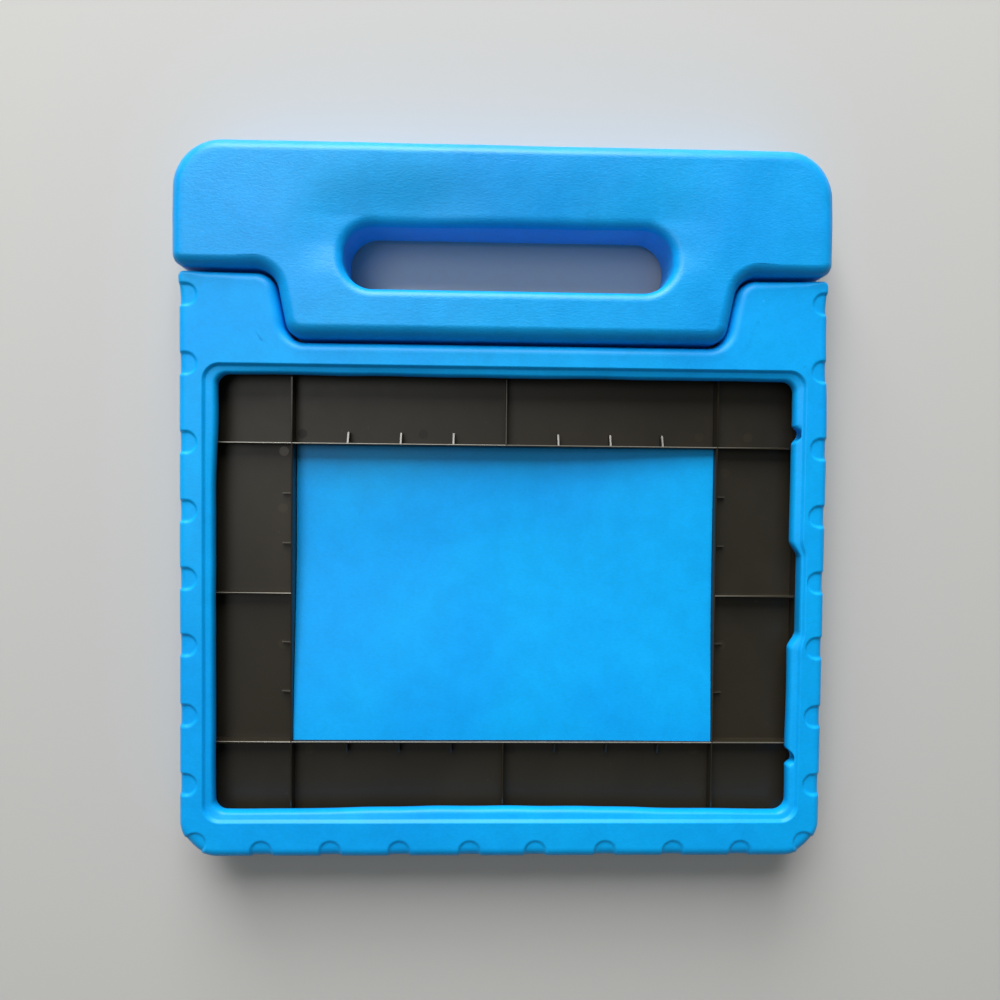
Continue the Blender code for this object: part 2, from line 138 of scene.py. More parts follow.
class Graph:
    """The node tree of one material, with its Principled shader."""

    def __init__(self, name: str) -> None:
        """Makes a material of that name."""
        self.material = bpy.data.materials.new(name)
        self.material.use_nodes = True
        self.nodes = self.material.node_tree.nodes
        self.links = self.material.node_tree.links
        self.shader = self.nodes["Principled BSDF"]

    def node(self, kind: str, settings: dict[str, object], feeds: dict[Union[str, int], Feed],
             out: Union[str, int] = 0) -> Wire:
        """Adds a node.

        Args:
            kind: the node's type.
            settings: its properties, set before its sockets.
            feeds: what goes into its sockets, by name or number.
            out: the output wanted.

        Returns:
            That output.
        """
        made = self.nodes.new(kind)
        for name, value in settings.items():
            setattr(made, name, value)
        for place, feed in feeds.items():
            self.feed(made.inputs[place], feed)
        return Wire(self, made.outputs[out])

    def feed(self, socket: bpy.types.NodeSocket, feed: Feed) -> None:
        """Links a wire to a socket, or sets its value."""
        if isinstance(feed, Wire):
            self.links.new(feed.socket, socket)
        elif isinstance(feed, (tuple, list)) and len(feed) == 3 and socket.type == "RGBA":
            socket.default_value = (*feed, 1.0)
        else:
            socket.default_value = feed

    def place(self, scale: Sequence[float] = (1, 1, 1), turn: float = 0.0) -> Wire:
        """Object coordinates, stretched and turned about Z."""
        coords = self.node("ShaderNodeTexCoord", {}, {}, "Object")
        return self.node("ShaderNodeMapping", {}, {"Vector": coords, "Scale": scale,
                                                   "Rotation": (0.0, 0.0, radians(turn))})

    def height(self) -> Wire:
        """The Z of the Object coordinates, in metres."""
        coords = self.node("ShaderNodeTexCoord", {}, {}, "Object")
        return self.node("ShaderNodeSeparateXYZ", {}, {0: coords}, "Z")

    def noise(self, size: float, detail: float = 2.0, rough: float = 0.5, place: Optional[Wire] = None,
              warp: float = 0.0) -> Wire:
        """Noise with features of about one size in millimetres, from 0 to 1."""
        return self.node("ShaderNodeTexNoise", {"noise_dimensions": "3D"},
                         {"Vector": place or self.place(), "Scale": 1 / (size * MM), "Detail": detail,
                          "Roughness": rough, "Distortion": warp}, "Fac")

    def mix(self, share: Feed, first: Feed, second: Feed, blend: str = "MIX") -> Wire:
        """Two colours mixed."""
        settings = {"data_type": "RGBA", "blend_type": blend, "clamp_factor": True}
        return self.node("ShaderNodeMix", settings, {0: share, 6: first, 7: second}, 2)

    def shade(self, colour: Feed, tone: Wire) -> Wire:
        """A colour made darker or paler by a factor."""
        grey = self.node("ShaderNodeCombineColor", {}, {0: tone, 1: tone, 2: tone})
        return self.mix(1.0, colour, grey, "MULTIPLY")

    def bump(self, height: Wire, depth: float) -> Wire:
        """A bump of one depth in millimetres."""
        return self.node("ShaderNodeBump", {}, {"Height": height, "Distance": depth * MM, "Strength": 1.0})

    def surface(self, **feeds: Feed) -> bpy.types.Material:
        """Feeds the shader's sockets, named with underscores, and returns the material."""
        for name, feed in feeds.items():
            self.feed(self.shader.inputs[name.replace("_", " ")], feed)
        return self.material


# Finishes


@dataclass(frozen=True)
class FoamFinish:
    """Moulded closed-cell foam with a pebbled skin."""

    name: str
    colour: Colour
    rough: float
    grain: float
    depth: float
    stretch: float = 0.45
    gloss: float = 0.26

    def make(self) -> bpy.types.Material:
        """Builds the material.

        Returns:
            Blue foam: faint clouding, darker cells in the grain, a pebbled bump and soft gloss.
        """
        graph = Graph(self.name)
        cells = graph.place((self.stretch, 1.0, 1.0))
        pebble = graph.noise(self.grain, 3.0, 0.60, cells, 0.5)
        coarse = graph.noise(self.grain * 3.4, 2.0, 0.5, cells)
        cloud = graph.noise(52.0, 2.0, 0.5)
        mottle = graph.noise(9.0, 3.0, 0.6)
        deep = tuple(part * tint for part, tint in zip(self.colour, (1.0, 0.93, 0.98)))
        pale = tuple(part * tint for part, tint in zip(self.colour, (1.15, 1.05, 1.0)))
        clouded = graph.mix(cloud.ramp(0.3, 0.7), deep, pale)
        tone = (0.965 + 0.07 * mottle.ramp(0.3, 0.7)) * (0.96 + 0.08 * pebble.ramp(0.3, 0.7))
        height = pebble * 0.7 + coarse * 0.3
        rough = self.rough + 0.08 * (mottle - 0.5)
        return graph.surface(Base_Color=graph.shade(clouded, tone), Roughness=rough,
                             Normal=graph.bump(height, self.depth), Specular_IOR_Level=self.gloss)


@dataclass(frozen=True)
class PlasticFinish:
    """Injection-moulded plastic."""

    name: str
    colour: Colour
    rough: float
    dust: float = 0.0
    polish: float = 0.0
    polish_from: float = 13.0
    # Strength of the painted highlight mixed into the faces that the former marks.
    highlight_strength: float = 0.0

    def make(self) -> bpy.types.Material:
        """Builds the material.

        Returns:
            Dark plastic with faint flow marks, handling haze, dust specks, fine scratches and a painted
            highlight on marked faces.
        """
        graph = Graph(self.name)
        flow = graph.noise(38.0, 3.0, 0.6, graph.place((1.0, 0.5, 1.0), 18.0))
        haze = graph.noise(9.0, 4.0, 0.62)
        mark = graph.node("ShaderNodeAttribute", {"attribute_name": MARK}, {}, "Fac")
        tone = (0.88 + 0.24 * flow.ramp(0.3, 0.7)) * (1.0 + mark)
        base = graph.shade(self.colour, tone)
        if self.dust:
            speck = graph.noise(1.1, 2.0, 0.5).ramp(0.74, 0.80) * graph.noise(17.0).ramp(0.5, 0.62)
            base = graph.mix(speck * self.dust, base, (0.16, 0.15, 0.13))
        fine = graph.noise(0.7, 2.0, 0.6)
        # Painted highlight: marked rib tops are mixed towards pale grey, standing in for lamp light glinting
        # on them.
        if self.highlight_strength:
            painted_highlight = graph.node("ShaderNodeAttribute", {"attribute_name": PAINTED_HIGHLIGHT}, {}, "Fac")
            base = graph.mix(painted_highlight * self.highlight_strength, base, (0.30, 0.29, 0.25))
        ridge = graph.height().ramp(self.polish_from * MM, (self.polish_from + 1.0) * MM)
        pebble = graph.noise(0.5, 2.0, 0.5)
        rough = self.rough + 0.12 * (haze - 0.5) - mark * 0.06
        height = fine + mark * pebble * 3.0
        return graph.surface(Base_Color=base, Roughness=rough - ridge * self.polish,
                             Normal=graph.bump(height, 0.012), Specular_IOR_Level=0.4)


@dataclass(frozen=True)
class FloorFinish:
    """Plain pale floor."""

    name: str = "studio_floor"
    colour: Colour = (0.55, 0.545, 0.53)

    def make(self) -> bpy.types.Material:
        """Builds the material."""
        return Graph(self.name).surface(Base_Color=self.colour, Roughness=0.9)


HANDLE_FOAM = FoamFinish("handle_foam", (0.002, 0.358, 0.85), 0.37, 0.72, 0.13, gloss=0.34)
SHELL_FOAM = FoamFinish("shell_foam", (0.001, 0.385, 0.92), 0.42, 0.7, 0.025)
# The former's plastic carries the painted highlight on its rib tops.
FORMER_PLASTIC = PlasticFinish("former_plastic", (0.0215, 0.0176, 0.0108), 0.45, 0.5, 0.26, highlight_strength=0.8)
PIN_PLASTIC = PlasticFinish("pin_plastic", (0.024, 0.023, 0.021), 0.42)
BUSH_PLASTIC = PlasticFinish("bush_plastic", (0.10, 0.10, 0.11), 0.45)


# Outlines and skins


@dataclass(frozen=True)
class Corner:
    """A corner of an outline, with the radius of its arc."""

    x: float
    y: float
    radius: float


@dataclass
class Station:
    """A place on an outline, with the direction that faces outwards."""

    point: Vector
    out: Vector


def smooth(low: float, high: float, value: float) -> float:
    """A smooth step from 0 at low to 1 at high, or the reverse where low is the larger."""
    share = min(max((value - low) / (high - low), 0.0), 1.0)
    return share * share * (3 - 2 * share)


def at_height(flat: Vector, height: float) -> Vector:
    """A point of the plane, raised to a height."""
    return Vector((flat.x, flat.y, height))


def drift(x: float, y: float, size: float, seed: float) -> float:
    """Slow unevenness over the plane, from about -1 to 1."""
    return noise.noise(Vector((x / size, y / size, seed)))


class Outline:
    """A closed outline, run anticlockwise."""

    FINE = 0.15

    def __init__(self, corners: Sequence[Corner]) -> None:
        """Draws the outline through its corners, each swept by an arc."""
        self.points: list[Vector] = []
        for index, corner in enumerate(corners):
            here = Vector((corner.x, corner.y))
            before = corners[index - 1]
            after = corners[(index + 1) % len(corners)]
            towards = (Vector((before.x, before.y)) - here).normalized()
            away = (Vector((after.x, after.y)) - here).normalized()
            half = towards.angle(away) / 2
            reach = corner.radius / tan(half)
            centre = here + (towards + away).normalized() * corner.radius / sin(half)
            start = here + towards * reach - centre
            sweep = start.angle_signed(here + away * reach - centre)
            steps = max(4, round(abs(sweep) * corner.radius / self.FINE))
            for step in range(steps + 1):
                turned = start.copy()
                turned.rotate(Matrix.Rotation(-sweep * step / steps, 2))
                self.points.append(centre + turned)

    def stations(self, spacing: Callable[[Vector], float]) -> list[Station]:
        """Places along the outline.

        Args:
            spacing: the distance wanted between stations near a point.

        Returns:
            The stations in order, anticlockwise.
        """
        path: list[Vector] = []
        for first, second in zip(self.points, self.points[1:] + self.points[:1]):
            pieces = max(1, round((second - first).length / self.FINE))
            path += [first.lerp(second, step / pieces) for step in range(pieces)]
        run = [0.0]
        for first, second in zip(path, path[1:] + path[:1]):
            run.append(run[-1] + (second - first).length / spacing((first + second) / 2))
        count = round(run[-1])
        places = []
        for number in range(count):
            wanted = run[-1] * number / count
            index = min(bisect_left(run, wanted), len(path) - 1)
            along = (path[(index + 2) % len(path)] - path[index - 2]).normalized()
            places.append(Station(path[index].copy(), Vector((along.y, -along.x))))
        return places


@dataclass(frozen=True)
class RoundedBox:
    """A rounded rectangle about X = 0 that other outlines are projected onto."""

    half_x: float
    low: float
    high: float
    radius: float

    def core(self) -> Triple:
        """Half the width and height between the corners' centres, and the middle's Y."""
        return self.half_x - self.radius, (self.high - self.low) / 2 - self.radius, (self.low + self.high) / 2

    def share(self, point: Vector) -> Share:
        """Where a point outside the box projects to.

        Args:
            point: the point outside.

        Returns:
            The shares of the box's core across and along, and the direction out of the core.
        """
        core_x, core_y, middle = self.core()
        held = Vector((min(max(point.x, -core_x), core_x), min(max(point.y - middle, -core_y), core_y)))
        away = (Vector((point.x, point.y - middle)) - held).normalized()
        return held.x / core_x, held.y / core_y, away

    def at(self, share: Share, grow: float = 0.0) -> Vector:
        """The point of the box, grown outwards, at a share that share() gave."""
        core_x, core_y, middle = self.core()
        return Vector((share[0] * core_x, middle + share[1] * core_y)) + share[2] * (self.radius + grow)


class Skin:
    """A closed skin grown ring by ring from one loop of edges."""

    def __init__(self, ring: Sequence[Vector]) -> None:
        """Starts from a ring of points in millimetres."""
        self.mesh = bmesh.new()
        self.place = self.mesh.verts.layers.int.new("station")
        verts = []
        for index, point in enumerate(ring):
            vert = self.mesh.verts.new(point * MM)
            vert[self.place] = index
            verts.append(vert)
        self.edges = [self.mesh.edges.new((verts[index - 1], verts[index])) for index in range(len(verts))]
        self.first = list(self.edges)

    def grow(self, ring: Sequence[Vector]) -> None:
        """Extrudes the last ring onto the next one."""
        made = bmesh.ops.extrude_edge_only(self.mesh, edges=self.edges)["geom"]
        fresh = {item for item in made if isinstance(item, bmesh.types.BMVert)}
        self.edges = [item for item in made if isinstance(item, bmesh.types.BMEdge)
                      and item.verts[0] in fresh and item.verts[1] in fresh]
        for vert in fresh:
            vert.co = ring[vert[self.place]] * MM

    def cap(self, edges: list[bmesh.types.BMEdge]) -> None:
        """Closes a loop of edges with one flat face."""
        bmesh.ops.contextual_create(self.mesh, geom=edges)

    def finish(self, name: str, weld: float = 0.0005) -> bpy.types.Object:
        """Merges doubles, turns the faces outwards and makes the object."""
        bmesh.ops.remove_doubles(self.mesh, verts=self.mesh.verts, dist=weld * MM)
        bmesh.ops.recalc_face_normals(self.mesh, faces=self.mesh.faces)
        self.mesh.verts.layers.int.remove(self.place)
        return piece(name, self.mesh)


def piece(name: str, mesh: bmesh.types.BMesh, crease: float = 40.0) -> bpy.types.Object:
    """Makes an object from a mesh and frees it.

    Args:
        name: the object's name.
        mesh: the mesh, in metres and in place.
        crease: the angle above which an edge stays sharp.

    Returns:
        The object, shaded smooth.
    """
    data = bpy.data.meshes.new(name)
    mesh.to_mesh(data)
    mesh.free()
    data.shade_smooth()
    data.set_sharp_from_angle(angle=radians(crease))
    made = bpy.data.objects.new(name, data)
    bpy.context.scene.collection.objects.link(made)
    return made


def paint(made: bpy.types.Object, material: bpy.types.Material) -> None:
    """Gives a piece one material."""
    made.data.materials.clear()
    made.data.materials.append(material)


def report(made: bpy.types.Object) -> None:
    """Logs a piece and its size."""
    LOG.info("%s: %d faces", made.name, len(made.data.polygons))


def quarter(steps: int, flat: float = 0.0) -> list[Pair]:
    """Shares (inwards, upwards) of an edge's profile.

    Args:
        steps: how many pieces it has.
        flat: 0 for a quarter round that starts upright and ends level, 1 for a plain chamfer.

    Returns:
        One pair per point of the profile.
    """
    turns = [(step / steps, pi / 2 * step / steps) for step in range(steps + 1)]
    return [((1 - cos(turn)) * (1 - flat) + share * flat, sin(turn) * (1 - flat) + share * flat)
            for share, turn in turns]


# Foam shell


@dataclass
class FoamShell:
    """The moulded foam shell, front and back, with its lip, pocket, notch and grip dimples."""

    half_width: float = 129.35
    bottom: float = -142.25
    thickness: float = 25.0
    corner: float = 15.0
    back_edge: float = 2.0
    front_edge: float = 3.0
    bottom_edge: float = 4.4
    notch_edge: float = 3.8
    shoulder_top: float = 91.45
    shoulder_corner: float = 2.2
    shoulder_edge: float = 1.6
    notch_end: float = 64.33
    notch_corners: Pair = (8.3, 8.7)
    notch_half: Pair = (92.78, 87.28)
    pivot: Pair = (77.7, 10.0)
    step_box: RoundedBox = RoundedBox(119.4, -126.85, 55.05, 6.4)
    step_depth: float = 1.2
    step_half: float = 0.8
    lip_box: RoundedBox = RoundedBox(116.0, -123.6, 51.6, 4.7)
    lip_heights: Pair = (18.1, 23.45)
    lip_roll: float = 1.9
    pocket_box: RoundedBox = RoundedBox(120.9, -129.05, 57.25, 9.3)
    floor: float = 9.8
    window: Triple = (86.05, -96.75, 24.15)
    window_floor: float = 10.7
    window_rise: Pair = (3.6, 5.6)
    recess: Pair = (-57.0, -12.9)
    recess_slope: float = 7.0
    recess_depth: float = 3.5
    recess_follow: float = 0.42
    bites: Pair = (-101.1, 30.2)
    bite_depth: float = 3.8
    dimple_half: float = 4.4
    dimple_reach: Pair = (-2.0, 7.5)
    dimple_depth: float = 0.85
    dimple_fall: float = 0.35
    dimple_rim: Pair = (0.3, -0.6)
    groove_depth: float = 0.15
    lean: float = 1.1
    lip_in: float = 1.1
    side_dimples: Sequence[float] = (82.15, 55.25, 24.35, -2.75, -29.55, -56.05, -84.05, -111.85)
    bottom_dimples: Sequence[float] = (-96.7, -69.2, -41.6, -13.3, 13.3, 41.6, 69.2, 96.7)
    wall_heights: Sequence[float] = (4.0, 6.0, 8.0, 10.0, 16.0)
    relief: tuple[Sequence[float], Sequence[float]] = ((79.5, 55.0, -3.0), (106.5, 90.0, 13.4))
    unevenness: float = 0.16
    lip_waves: tuple[Pair, Pair] = ((0.35, 21.0), (0.25, 60.0))
    lip_bow: float = 1.1
    bow_across: Pair = (95.0, 20.0)
    lip_in_along: Pair = (0.0, 42.0)
    notch_across: Pair = (118.0, 100.0)
    notch_along: Pair = (40.0, 60.0)
    bottom_along: Pair = (-128.0, -138.0)
    shoulder_near: Pair = (2.0, 12.0)
    lean_across: Pair = (108.0, 124.0)
    lean_along: Pair = (30.0, 75.0)
    rise_across: Pair = (10.0, 96.0)
    rise_along: Pair = (-10.0, -108.0)
    band_rings: tuple[int, int] = (14, 18)
    fine_reach: float = 7.0
    island: Triple = (108.0, 47.0, 83.0)
    turn_from: float = 80.0
    turn_inside: Pair = (65.0, 74.0)
    turn_outside: Pair = (48.0, 66.0)
    dimples: list[tuple[Vector, Vector]] = field(default_factory=list)

    def __post_init__(self) -> None:
        """Sets out the dimples: a place on the edge and the direction that faces outwards."""
        for level in self.side_dimples:
            for side in (1, -1):
                self.dimples.append((Vector((side * self.half_width, level)), Vector((side, 0))))
        for place in self.bottom_dimples:
            self.dimples.append((Vector((place, self.bottom)), Vector((0, -1))))
        inset = self.corner * (1 - sqrt(0.5))
        for side in (1, -1):
            self.dimples.append((Vector((side * (self.half_width - inset), self.bottom + inset)),
                                 Vector((side, -1)).normalized()))

    def outline(self) -> Outline:
        """The outer outline, with its two shoulders and the notch between them."""
        right = [Corner(self.half_width, self.bottom, self.corner),
                 Corner(self.half_width, self.shoulder_top, self.shoulder_corner),
                 Corner(self.notch_half[0], self.shoulder_top, self.notch_corners[0]),
                 Corner(self.notch_half[1], self.notch_end, self.notch_corners[1])]
        return Outline(right + [Corner(-c.x, c.y, c.radius) for c in reversed(right)])

    def spacing(self, point: Vector) -> float:
        """How far apart stations lie near a point of the outline."""
        if any((point - place).length < 7.5 for place, _ in self.dimples):
            return 0.5
        if point.x > self.half_width - 3:
            return 0.35 if min(abs(point.y - bite) for bite in self.bites) < 6 else 0.6
        return 0.9 if abs(point.x) > 75 else 1.3

    def near(self, station: Station) -> Pair:
        """The nearest dimple to a station: its offset along the edge and its distance."""
        place, out = min(self.dimples, key=lambda item: (item[0] - station.point).length)
        gap = station.point - place
        return gap.x * -out.y + gap.y * out.x, gap.length

    def groove(self, along: float) -> float:
        """How far the wall sinks in at an offset from a dimple's middle."""
        share = abs(along) / (self.dimple_half + 0.8)
        return self.groove_depth * (1 - smooth(0.25, 1.0, share))

    def edge(self, point: Vector) -> float:
        """Radius of the front's rounding at a point: larger along the notch, tight at a shoulder."""
        along = self.front_edge + (self.notch_edge - self.front_edge) * (
            smooth(*self.notch_across, abs(point.x)) * smooth(*self.notch_along, point.y))
        along += (self.bottom_edge - self.front_edge) * smooth(*self.bottom_along, point.y)
        gap = (Vector((abs(point.x), point.y)) - Vector((self.half_width, self.shoulder_top))).length
        return self.shoulder_edge + (along - self.shoulder_edge) * smooth(*self.shoulder_near, gap)

    def turn(self, start: Vector, target: Vector, reach: float) -> Vector:
        """Where a line over the front face stops running straight in and turns towards the step.

        Args:
            start: where it leaves the rounded edge.
            target: where it meets the step.
            reach: how far in it turns.

        Returns:
            The turning point; away from the shoulders it lies on the straight line.
        """
        across, low, high = self.island
        core = Vector((copysign(across, start.x), min(max(start.y, low), high)))
        span = self.turn_inside if abs(start.x) < across else self.turn_outside
        share = smooth(*span, start.y) if abs(start.x) >= self.turn_from else 0.0
        away = (target - start).normalized().lerp((core - start).normalized(), share)
        held = min(reach, 0.85 * (core - start).length)
        return start + away.normalized() * (reach + (held - reach) * share)

    def sunk(self, point: Vector) -> float:
        """How deep the nearest dimple sinks the front at a point."""
        place, out = min(self.dimples, key=lambda item: (item[0] - point).length_squared)
        gap = point - place
        if gap.length > 12:
            return 0.0
        inward = -gap.dot(out)
        along = abs(gap.x * -out.y + gap.y * out.x)
        centre = self.dimple_reach[1] - self.dimple_half
        if inward > centre:
            edge = hypot(inward - centre, along) - self.dimple_half
        else:
            edge = max(along - self.dimple_half, self.dimple_reach[0] - inward)
        fall = 1.0 - self.dimple_fall * smooth(1.5, self.dimple_reach[1], inward)
        return self.dimple_depth * fall * smooth(*self.dimple_rim, edge)

    def back_limit(self, height: float) -> float:
        """How far up the shoulders reach at a height, rounded behind the hinge for the swing."""
        radius = self.shoulder_top - self.pivot[0]
        drop = max(self.pivot[1] - height, 0.0)
        return self.pivot[0] + sqrt(radius ** 2 - drop ** 2)

    def wall(self, station: Station, height: float, inset: float) -> Vector:
        """A point of the outer wall.

        Args:
            station: the place on the outline.
            height: how high above the back.
            inset: how far in from the outline.

        Returns:
            The point, with its groove and the rounding behind the shoulders.
        """
        along, gap = self.near(station)
        sink = self.groove(along) if gap < 9 else 0.0
        flat = station.point - station.out * (inset + sink)
        start = self.pivot[0] + 3
        if flat.y > start:
            limit = self.back_limit(height)
            flat.y = start + (flat.y - start) * (limit - start) / (self.shoulder_top - start)
        flat.x -= self.lean * smooth(*self.lean_across, flat.x) * smooth(*self.lean_along, flat.y)
        return at_height(flat, height)

    def recess_at(self, level: float) -> float:
        """How far the right lip's edge stands back at a level: the button recess."""
        low, high = self.recess
        rise = smooth(low, low + self.recess_slope, level)
        fall = smooth(high, high - self.recess_slope, level)
        return self.recess_depth * min(rise, fall)

    def bite_at(self, level: float) -> float:
        """How far the right lip's edge stands back at a level: the two bites."""
        deep = 0.0
        for middle in self.bites:
            rise = smooth(middle - 4.0, middle - 0.7, level)
            fall = smooth(middle + 3.7, middle - 0.1, level)
            deep = max(deep, self.bite_depth * min(rise, fall))
        return deep

    def lip(self, share: Share) -> Vector:
        """The lip's inner edge, a little wavy, with its bulge, recess and bites."""
        edge = self.lip_box.at(share)
        cut = self.recess_at(edge.y) + self.bite_at(edge.y) if share[2].x > 0.9 else 0.0
        (small, short), (large, long) = self.lip_waves
        wave = small * drift(edge.x + 7, edge.y, short, 3.0) + large * drift(edge.x, edge.y, long, 8.0)
        edge = edge - share[2] * wave * smooth(1.5, 0.0, cut)
        if share[2].y < -0.9:
            edge.y += self.lip_bow * smooth(*self.bow_across, abs(edge.x))
        edge.x += cut
        if edge.x < -90:
            edge.x += self.lip_in * smooth(*self.lip_in_along, edge.y)
        return edge

    def front(self, point: Vector) -> float:
        """Height of the front face at a point, with its slight unevenness."""
        return self.thickness + self.unevenness * drift(point.x, point.y, 34.0, 1.0)

    def rings(self, places: list[Station]) -> Iterable[list[Vector]]:
        """The skin's rings, from the back round the wall and the lip to the pocket's floor.

        Args:
            places: the stations of the outline.

        Yields:
            One ring of points after another.
        """
        yield [self.wall(s, 0.0, self.back_edge + 0.8) for s in places]
        for inward, up in [(1 - rise, 1 - run) for rise, run in reversed(quarter(4))]:
            yield [self.wall(s, self.back_edge * up, self.back_edge * inward) for s in places]
        for height in self.wall_heights:
            yield [self.wall(s, height, 0.0) for s in places]
        edges = [self.edge(s.point) for s in places]
        for inward, up in quarter(8):
            lines = []
            for s, edge in zip(places, edges):
                point = self.wall(s, self.thickness - edge, edge * inward)
                point.z = self.front(point.xy) - edge + edge * up - self.sunk(point.xy)
                lines.append(point)
            yield lines
        shares = [self.step_box.share(s.point) for s in places]
        follow = [self.recess_follow * self.recess_at(self.lip_box.at(share).y) if share[2].x > 0.9 else 0.0
                  for share in shares]
        fine, count = self.band_rings
        for number in range(1, count + 1):
            ring = []
            for start, share, back in zip(lines, shares, follow):
                target = self.step_box.at(share, self.step_half + 0.1 + back)
                reach = min((target - start.xy).length * fine / count, self.fine_reach)
                turn = self.turn(start.xy, target, reach)
                if number <= fine:
                    flat = start.xy.lerp(turn, number / fine)
                else:
                    flat = turn.lerp(target, (number - fine) / (count - fine))
                ring.append(at_height(flat, self.front(flat) - self.sunk(flat)))
            yield ring
        for step in range(9):
            grow = self.step_half * (1 - step / 4)
            ring = []
            for share, back in zip(shares, follow):
                flat = self.step_box.at(share, grow + back)
                depth = self.step_depth * smooth(0, 8, step)
                ring.append(at_height(flat, self.front(flat) - self.sunk(flat) - depth))
            yield ring
        inner = ring
        edge = [self.lip(share) for share in shares]
        middle = sum(self.lip_heights) / 2
        half = (self.lip_heights[1] - self.lip_heights[0]) / 2
        rolls = [min(self.lip_roll, 0.6 * (end - start.xy).length) for start, end in zip(inner, edge)]
        for step in range(1, 5):
            ring = []
            for start, end, roll in zip(inner, edge, rolls):
                foot = end + (start.xy - end).normalized() * roll
                flat = start.xy.lerp(foot, step / 4)
                ring.append(at_height(flat, start.z + (middle + half - start.z) * step / 4))
            yield ring
        for step in range(1, 11):
            angle = pi * step / 10
            ring = []
            for start, end, roll in zip(inner, edge, rolls):
                flat = end + (start.xy - end).normalized() * roll * (1 - sin(angle))
                ring.append(at_height(flat, middle + half * cos(angle)))
            yield ring
        for grow, height in ((0.0, self.lip_heights[0]), (0.0, self.floor), (-1.0, self.floor)):
            yield [at_height(self.pocket_box.at(share, grow), height) for share in shares]

    def build(self) -> bpy.types.Object:
        """Builds the shell.

        Returns:
            The finished piece.
        """
        places = self.outline().stations(self.spacing)
        rings = self.rings(places)
        skin = Skin(next(rings))
        skin.cap(skin.first)
        for ring in rings:
            skin.grow(ring)
        skin.cap(skin.edges)
        shell = skin.finish("shell")
        self.relieve(shell)
        self.swell(shell)
        return shell

    def swell(self, shell: bpy.types.Object) -> None:
        """Lets the foam floor rise softly inside the former's window, most at the bottom and the right."""
        half, low, high = self.window
        mesh = bmesh.new()
        bmesh.ops.create_grid(mesh, x_segments=44, y_segments=32, size=1.0)
        bmesh.ops.scale(mesh, verts=mesh.verts, vec=(half, (high - low) / 2, 1))
        bmesh.ops.translate(mesh, verts=mesh.verts, vec=(0, (high + low) / 2, 0))
        for vert in mesh.verts:
            x, y = vert.co.xy
            across = self.window_rise[0] * smooth(*self.rise_across, x)
            along = self.window_rise[1] * smooth(*self.rise_along, y)
            vert.co.z = self.window_floor + hypot(across, along) + 0.2 * drift(x, y, 40.0, 6.0)
        foot = bmesh.ops.extrude_edge_only(mesh, edges=[e for e in mesh.edges if e.is_boundary])["geom"]
        for vert in (v for v in foot if isinstance(v, bmesh.types.BMVert)):
            vert.co.z = self.floor - 0.5
        bmesh.ops.contextual_create(mesh, geom=[e for e in mesh.edges if e.is_boundary])
        bmesh.ops.recalc_face_normals(mesh, faces=mesh.faces)
        bmesh.ops.scale(mesh, verts=mesh.verts, vec=(MM, MM, MM))
        mesh.from_mesh(shell.data)
        mesh.to_mesh(shell.data)
        mesh.free()
        shell.data.shade_smooth()
        shell.data.set_sharp_from_angle(angle=radians(40))

    def relieve(self, shell: bpy.types.Object) -> None:
        """Cuts the room behind the notch that the tab swings through, and the bush seats."""
        room = bmesh.new()
        low, high = (Vector(corner) for corner in self.relief)
        for side in (1, -1):
            block = bmesh.ops.create_cube(room, size=1.0)["verts"]
            bmesh.ops.scale(room, verts=block, vec=(high - low) * MM)
            middle = (low + high) / 2 * MM
            bmesh.ops.translate(room, verts=block, vec=(side * middle.x, middle.y, middle.z))
        kept = bmesh.new()
        kept.from_mesh(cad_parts["foam_body"].data)
        bmesh.ops.remove_doubles(kept, verts=kept.verts, dist=0.0005 * MM)
        solid = piece("relief_solid", kept)
        cutter = piece("relief_cutter", room)
        carve(cutter, solid)
        carve(shell, cutter)
        for spare in (solid, cutter):
            bpy.data.objects.remove(spare)


def carve(made: bpy.types.Object, cutter: bpy.types.Object) -> None:
    """Takes one solid away from another and keeps the result as its mesh."""
    cut = made.modifiers.new("carve", "BOOLEAN")
    cut.object = cutter
    cut.operation = "DIFFERENCE"
    cut.solver = "EXACT"
    bpy.context.view_layer.update()
    carved = bpy.data.meshes.new_from_object(made.evaluated_get(bpy.context.evaluated_depsgraph_get()))
    made.modifiers.clear()
    old = made.data
    made.data = carved
    carved.name = made.name
    bpy.data.meshes.remove(old)


# Foam handle


